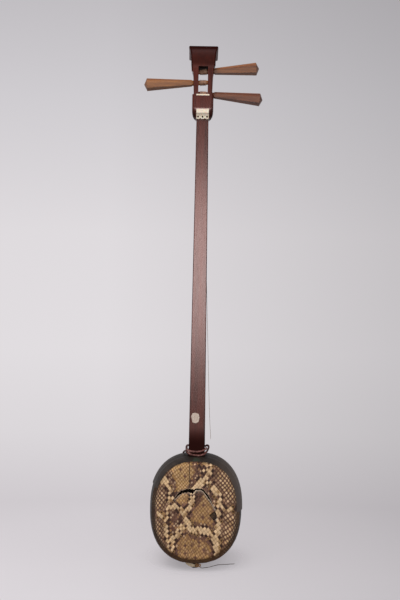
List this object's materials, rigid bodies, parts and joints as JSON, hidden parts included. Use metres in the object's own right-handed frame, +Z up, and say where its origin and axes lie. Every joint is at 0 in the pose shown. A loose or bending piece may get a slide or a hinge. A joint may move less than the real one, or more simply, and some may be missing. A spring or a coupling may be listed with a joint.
{
  "type": "sanxian",
  "caption": "Small plucked lute with a python-skin drum, a long fretless neck, a slotted pegbox with friction pegs and a head bent backwards.",
  "frame": {"origin": "middle of the flat foot of the neck's spike, where the instrument stands", "axes": "+Z up along the neck, the front skin faces -Y, +X to the right seen from the front"},
  "size_m": [0.212, 0.077, 0.9497],
  "materials": {
    "neck_wood": "dark red-brown rosewood, rubbed to a satin",
    "peg_wood": "lighter red-brown hardwood, knife-faceted and rubbed with oil",
    "drum_wood": "dark stained hardwood, dull and dusty",
    "python_skin": "dried python skin with saddle blotches, cream net and small scales",
    "band_leather": "thin dark leather strip, matt",
    "bone": "polished cattle bone, yellowed",
    "silk": "twisted silk string, waxed",
    "tie_leather": "brown leather cord, worn grey-pink on top",
    "tail_cord": "twisted plant-fibre cord",
    "rawhide": "pale dried rawhide",
    "paper": "scrap of dusty white paper and old glue"
  },
  "bodies": {
    "body": {"frame_top": "drum_wood", "frame_bottom": "drum_wood", "frame_left": "drum_wood", "frame_right": "drum_wood", "front_skin": "python_skin", "back_skin": "python_skin", "side_band": "band_leather", "neck": "neck_wood", "head": "neck_wood", "bone_strip": "bone", "nut_plate": "bone", "loose_string": "silk", "neck_tie": "tie_leather", "tail_cord": "tail_cord", "tail_knot": "tail_cord", "tail_thread": "tail_cord", "rawhide_strip": "rawhide", "paper_scrap": "paper"},
    "upper_peg": {"peg_upper": "peg_wood", "string_on_peg_upper": "silk"},
    "middle_peg": {"peg_middle": "peg_wood", "string_on_peg_middle": "silk"},
    "lower_peg": {"peg_lower": "peg_wood", "string_on_peg_lower": "silk"}
  },
  "joints": [
    {"name": "upper_peg_turn", "type": "hinge", "parent": "body", "child": "upper_peg", "pos_m": [0, -0.01, 0.8898], "axis": [0.9972, 0, 0.075], "continuous": true},
    {"name": "middle_peg_turn", "type": "hinge", "parent": "body", "child": "middle_peg", "pos_m": [0, -0.01, 0.8706], "axis": [-0.9987, 0, -0.0506], "continuous": true},
    {"name": "lower_peg_turn", "type": "hinge", "parent": "body", "child": "lower_peg", "pos_m": [0, -0.01, 0.8504], "axis": [0.9965, 0, -0.0837], "continuous": true}
  ]
}
